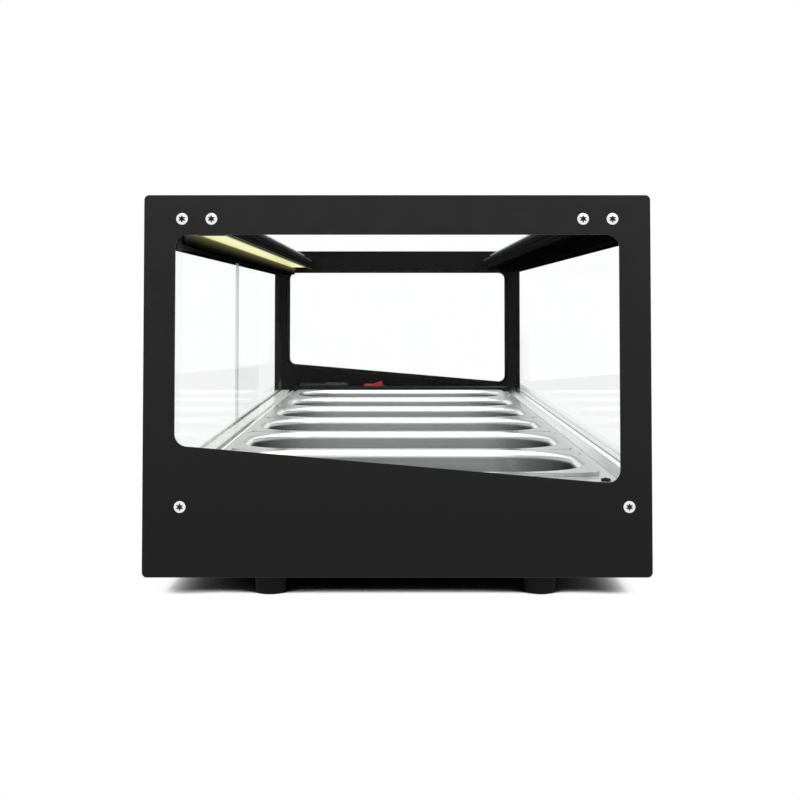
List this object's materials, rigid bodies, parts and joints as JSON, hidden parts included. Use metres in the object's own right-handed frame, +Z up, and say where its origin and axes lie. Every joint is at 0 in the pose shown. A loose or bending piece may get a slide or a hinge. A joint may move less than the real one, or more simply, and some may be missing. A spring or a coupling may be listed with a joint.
{
  "type": "heated bain-marie display",
  "caption": "Low counter-top heated bain-marie display with black end panels, glass sides and top, sliding service doors and lift-out gastronorm pans over a water tank.",
  "frame": {"origin": "on the counter, under the middle of the cabinet", "axes": "+X along the cabinet's length towards the control end, -Y towards the customer, +Y towards the service side, +Z up"},
  "size_m": [1.1512, 0.4, 0.318],
  "materials": {
    "black_panel": "black satin powder coat",
    "black_beam": "black satin coated profile",
    "black_sheet": "black satin powder coat",
    "clear_glass": "clear toughened glass with green polished edges",
    "grey_seal": "pale translucent silicone",
    "satin_rail": "satin anodised",
    "white_track": "white rigid PVC",
    "deck_steel": "brushed stainless",
    "pan_steel": "polished stainless",
    "tank_steel": "stainless",
    "element_steel": "heat-tinted stainless sheath",
    "zinc_steel": "zinc plated",
    "screw_steel": "bright stainless",
    "insulation": "mineral fibre slab",
    "black_rubber": "black rubber",
    "black_plastic": "black moulded plastic",
    "button_plastic": "grey moulded plastic",
    "red_plastic": "red moulded plastic",
    "display_window": "dark tinted window",
    "door_profile": "clear polycarbonate",
    "glide_plastic": "white nylon",
    "lamp_metal": "mill finish",
    "board": "white printed board",
    "lamp_cover": "opal diffuser, pale yellow",
    "driver_case": "white moulded case"
  },
  "bodies": {
    "cabinet": {"base_screws": "zinc_steel", "base_tray": "black_sheet", "cable_gland": "black_plastic", "control_console": "black_sheet", "deck_frame": "deck_steel", "door_track": "white_track", "drain_spigot": "tank_steel", "element_nuts": "zinc_steel", "element_supports": "tank_steel", "end_panel_screws": "screw_steel", "feet": "black_rubber", "foot_studs": "zinc_steel", "front_glass": "clear_glass", "front_glass_gaskets": "grey_seal", "front_sill_rail": "satin_rail", "front_skirt": "black_sheet", "front_top_beam": "black_beam", "heating_element": "element_steel", "lamp_channel": "lamp_metal", "lamp_diffuser": "lamp_cover", "lamp_end_caps": "black_plastic", "led_board": "board", "led_driver": "driver_case", "left_end_glass": "clear_glass", "left_end_panel": "black_panel", "pan_bar_1": "deck_steel", "pan_bar_2": "deck_steel", "pan_bar_3": "deck_steel", "pan_bar_4": "deck_steel", "pan_bar_5": "deck_steel", "right_end_glass": "clear_glass", "right_end_panel": "black_panel", "service_skirt": "black_sheet", "service_top_beam": "black_beam", "switch_housing": "black_plastic", "tank_insulation": "insulation", "terminal_block": "black_plastic", "thermostat_case": "black_plastic", "thermostat_probe": "element_steel", "thermostat_window": "display_window", "top_glass": "clear_glass", "top_glass_seals": "grey_seal", "water_tank": "tank_steel"},
    "left_door": {"left_door_glass": "clear_glass", "left_door_pull": "door_profile", "left_door_glides": "glide_plastic"},
    "right_door": {"right_door_glass": "clear_glass", "right_door_pull": "door_profile", "right_door_glides": "glide_plastic"},
    "drain_cap": {"drain_cap": "black_plastic"},
    "rocker": {"switch_rocker": "red_plastic"},
    "set_button": {"set_button": "button_plastic"},
    "up_button": {"up_button": "button_plastic"},
    "down_button": {"down_button": "button_plastic"},
    "pan_1": {"pan_1": "pan_steel"},
    "pan_2": {"pan_2": "pan_steel"},
    "pan_3": {"pan_3": "pan_steel"},
    "pan_4": {"pan_4": "pan_steel"},
    "pan_5": {"pan_5": "pan_steel"},
    "pan_6": {"pan_6": "pan_steel"}
  },
  "joints": [
    {"name": "left_door_slide", "type": "slide", "parent": "cabinet", "child": "left_door", "axis": [1, 0, 0], "range_m": [0, 0.539]},
    {"name": "right_door_slide", "type": "slide", "parent": "cabinet", "child": "right_door", "axis": [-1, 0, 0], "range_m": [0, 0.539]},
    {"name": "pan_1_lift", "type": "slide", "parent": "cabinet", "child": "pan_1", "axis": [0, 0, 1], "range_m": [0, 0.15]},
    {"name": "pan_2_lift", "type": "slide", "parent": "cabinet", "child": "pan_2", "axis": [0, 0, 1], "range_m": [0, 0.15]},
    {"name": "pan_3_lift", "type": "slide", "parent": "cabinet", "child": "pan_3", "axis": [0, 0, 1], "range_m": [0, 0.15]},
    {"name": "pan_4_lift", "type": "slide", "parent": "cabinet", "child": "pan_4", "axis": [0, 0, 1], "range_m": [0, 0.15]},
    {"name": "pan_5_lift", "type": "slide", "parent": "cabinet", "child": "pan_5", "axis": [0, 0, 1], "range_m": [0, 0.15]},
    {"name": "pan_6_lift", "type": "slide", "parent": "cabinet", "child": "pan_6", "axis": [0, 0, 1], "range_m": [0, 0.15]},
    {"name": "rocker_turn", "type": "hinge", "parent": "cabinet", "child": "rocker", "pos_m": [0.552, 0.038, 0.0985], "axis": [1, 0, 0], "range_deg": [0, 18]},
    {"name": "set_button_press", "type": "slide", "parent": "cabinet", "child": "set_button", "axis": [0, 0, -1], "range_m": [0, 0.001], "stiffness_N_per_m": 300},
    {"name": "up_button_press", "type": "slide", "parent": "cabinet", "child": "up_button", "axis": [0, 0, -1], "range_m": [0, 0.001], "stiffness_N_per_m": 300},
    {"name": "down_button_press", "type": "slide", "parent": "cabinet", "child": "down_button", "axis": [0, 0, -1], "range_m": [0, 0.001], "stiffness_N_per_m": 300},
    {"name": "drain_cap_off", "type": "slide", "parent": "cabinet", "child": "drain_cap", "axis": [0, 1, 0], "range_m": [0, 0.03]}
  ]
}
